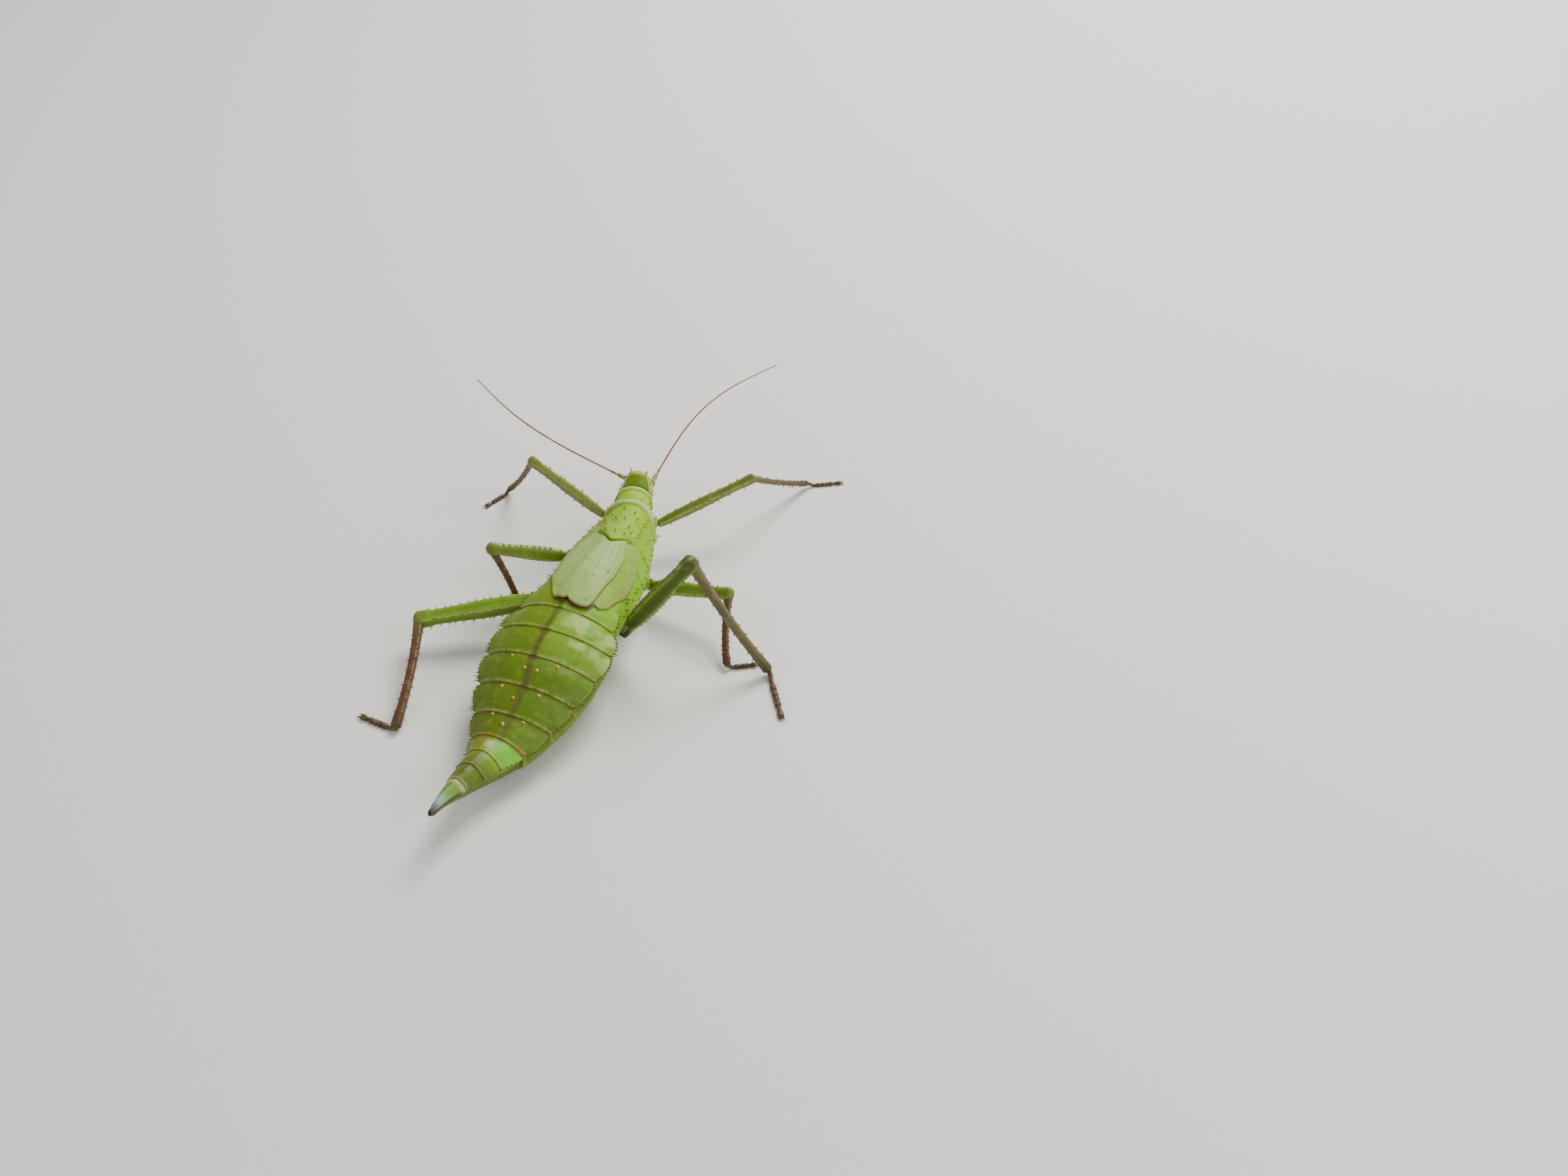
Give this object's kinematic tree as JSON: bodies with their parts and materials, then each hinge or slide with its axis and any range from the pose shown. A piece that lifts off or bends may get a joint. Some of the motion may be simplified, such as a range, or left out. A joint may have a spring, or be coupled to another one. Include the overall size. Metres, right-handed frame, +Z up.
{
  "type": "giant thorny stick insect model",
  "caption": "Still life-size model of an adult female jungle nymph standing on the floor, with thorny legs, small fore wings, long feelers and a broad pointed abdomen.",
  "frame": {"origin": "centre of the model's bounding box on the floor that the feet and belly rest on", "axes": "+Z up, -Y the way the head faces, +X the insect's left"},
  "size_m": [0.1486, 0.2196, 0.0406],
  "materials": {
    "green_skin": "satin",
    "pale_skin": "satin",
    "wing": "satin",
    "femur": "satin",
    "shin": "satin",
    "foot": "satin",
    "feeler": "satin",
    "eye": "gloss",
    "tail": "satin"
  },
  "bodies": {
    "root": {"abdomen_10": "green_skin", "abdomen_2": "green_skin", "abdomen_3": "green_skin", "abdomen_4": "green_skin", "abdomen_5": "green_skin", "abdomen_6": "green_skin", "abdomen_7": "green_skin", "abdomen_8": "green_skin", "abdomen_9": "green_skin", "antenna_left": "feeler", "antenna_right": "feeler", "coxa_front_left": "pale_skin", "coxa_front_right": "pale_skin", "coxa_hind_left": "pale_skin", "coxa_hind_right": "pale_skin", "coxa_mid_left": "pale_skin", "coxa_mid_right": "pale_skin", "epiproct": "tail", "eye_left": "eye", "eye_right": "eye", "femur_front_left": "femur", "femur_front_right": "femur", "femur_hind_left": "femur", "femur_hind_right": "femur", "femur_mid_left": "femur", "femur_mid_right": "femur", "head": "green_skin", "jaws": "pale_skin", "mesothorax": "green_skin", "metathorax": "green_skin", "operculum": "tail", "palp_left": "pale_skin", "palp_right": "pale_skin", "prothorax": "green_skin", "tarsus_front_left": "foot", "tarsus_front_right": "foot", "tarsus_hind_left": "foot", "tarsus_hind_right": "foot", "tarsus_mid_left": "foot", "tarsus_mid_right": "foot", "tegmen_left": "wing", "tegmen_right": "wing", "tibia_front_left": "shin", "tibia_front_right": "shin", "tibia_hind_left": "shin", "tibia_hind_right": "shin", "tibia_mid_left": "shin", "tibia_mid_right": "shin"}
  },
  "joints": []
}
